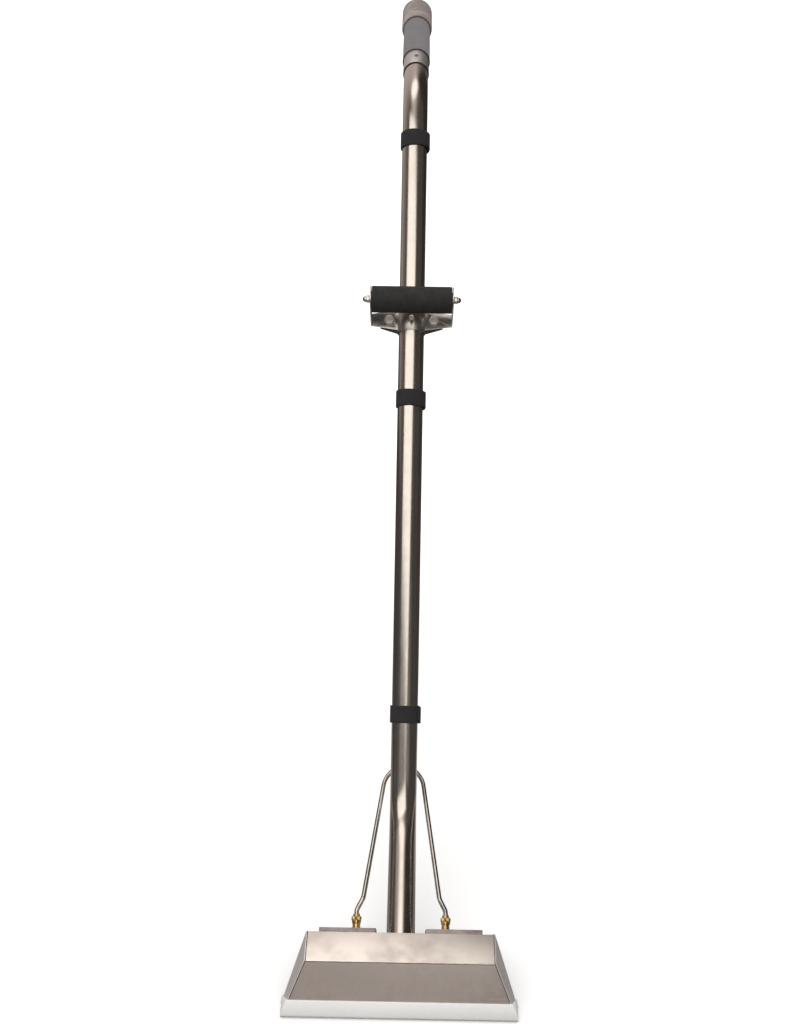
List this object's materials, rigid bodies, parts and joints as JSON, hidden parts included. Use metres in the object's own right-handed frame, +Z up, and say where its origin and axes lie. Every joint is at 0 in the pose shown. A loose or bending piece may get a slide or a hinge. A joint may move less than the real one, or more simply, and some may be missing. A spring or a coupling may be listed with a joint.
{
  "type": "carpet cleaning floor wand",
  "caption": "S-bend steel carpet extraction wand with a slotted suction head, spray jets, trigger valve and a sliding roller handle.",
  "frame": {"origin": "centre of the glide's sole, on the floor", "axes": "+Z up, +Y towards the operator's end, +X to the right as seen from the front of the head"},
  "size_m": [0.31, 1.1981, 1.182],
  "materials": {
    "brushed_steel": "brushed",
    "dark_steel": "brushed",
    "bright_steel": "polished",
    "brass": "machined",
    "glide_plastic": "matte",
    "black_foam": "matte foam",
    "black_rubber": "satin",
    "black_webbing": "woven",
    "black_paint": "satin",
    "grip_rubber": "matte",
    "cuff_plastic": "satin",
    "core_plastic": "satin",
    "bush_nylon": "satin"
  },
  "bodies": {
    "wand": {"vacuum_tube": "brushed_steel", "head_front_panel": "brushed_steel", "head_rear_panel": "brushed_steel", "head_end_plate_left": "brushed_steel", "head_end_plate_right": "brushed_steel", "glide": "glide_plastic", "glide_screws": "bright_steel", "spray_hood_left": "dark_steel", "spray_hood_right": "dark_steel", "jet_body_left": "brass", "jet_body_right": "brass", "jet_locknuts": "brass", "nozzle_tip_left": "brushed_steel", "nozzle_tip_right": "brushed_steel", "nozzle_caps": "brass", "jet_strainers": "brushed_steel", "jet_tube_nuts": "brass", "jet_ferrules": "brass", "solution_tube_left": "brushed_steel", "solution_tube_right": "brushed_steel", "solution_tee": "brass", "tee_nuts": "brass", "tee_ferrules": "brass", "tee_bracket": "brushed_steel", "tee_screw": "bright_steel", "hose_fitting_lower": "brass", "hose_fitting_upper": "brass", "solution_hose": "black_rubber", "hose_crimps": "bright_steel", "strap_lower": "black_webbing", "strap_middle": "black_webbing", "strap_top": "black_webbing", "valve_collar": "brushed_steel", "collar_rivet": "dark_steel", "valve_body": "brass", "valve_bolts": "bright_steel", "valve_bolt_nuts": "bright_steel", "valve_seat": "brushed_steel", "valve_bonnet": "brass", "stem_seal": "black_rubber", "valve_spring": "bright_steel", "trigger_pin": "bright_steel", "inlet_plug": "bright_steel", "rear_grip": "grip_rubber", "hose_cuff": "cuff_plastic"},
    "handle": {"handle_front_clamp": "bright_steel", "handle_rear_clamp": "black_paint", "clamp_bolts": "bright_steel", "clamp_washers": "bright_steel", "clamp_nuts": "bright_steel", "saddle_rivet": "bright_steel", "roller_axle": "bright_steel", "axle_washers": "bright_steel", "axle_acorn_nuts": "bright_steel"},
    "roller": {"roller_core": "core_plastic", "roller_bushes": "bush_nylon", "roller_foam": "black_foam"},
    "trigger": {"trigger_lever": "brushed_steel", "trigger_sleeve": "black_rubber"},
    "stem": {"valve_stem": "bright_steel"}
  },
  "joints": [
    {"name": "handle_slide", "type": "slide", "parent": "wand", "child": "handle", "axis": [0, 0.5, 0.866], "range_m": [-0.08, 0.24]},
    {"name": "roller_spin", "type": "hinge", "parent": "handle", "child": "roller", "pos_m": [0, 0.59615, 0.79438], "axis": [1, 0, 0], "continuous": true},
    {"name": "trigger_pull", "type": "hinge", "parent": "wand", "child": "trigger", "pos_m": [0, 0.92159, 1.03017], "axis": [1, 0, 0], "range_deg": [0, 6.79], "stiffness_Nm_per_rad": 10, "springref_deg": -5.73},
    {"name": "stem_lift", "type": "slide", "parent": "wand", "child": "stem", "axis": [0, -0.2588, 0.9659], "range_m": [0, 0.00252], "deforming": ["valve_spring"]}
  ],
  "couplings": [
    {"joint": "stem_lift", "follows": "trigger_pull", "m_per_rad": 0.021099}
  ]
}
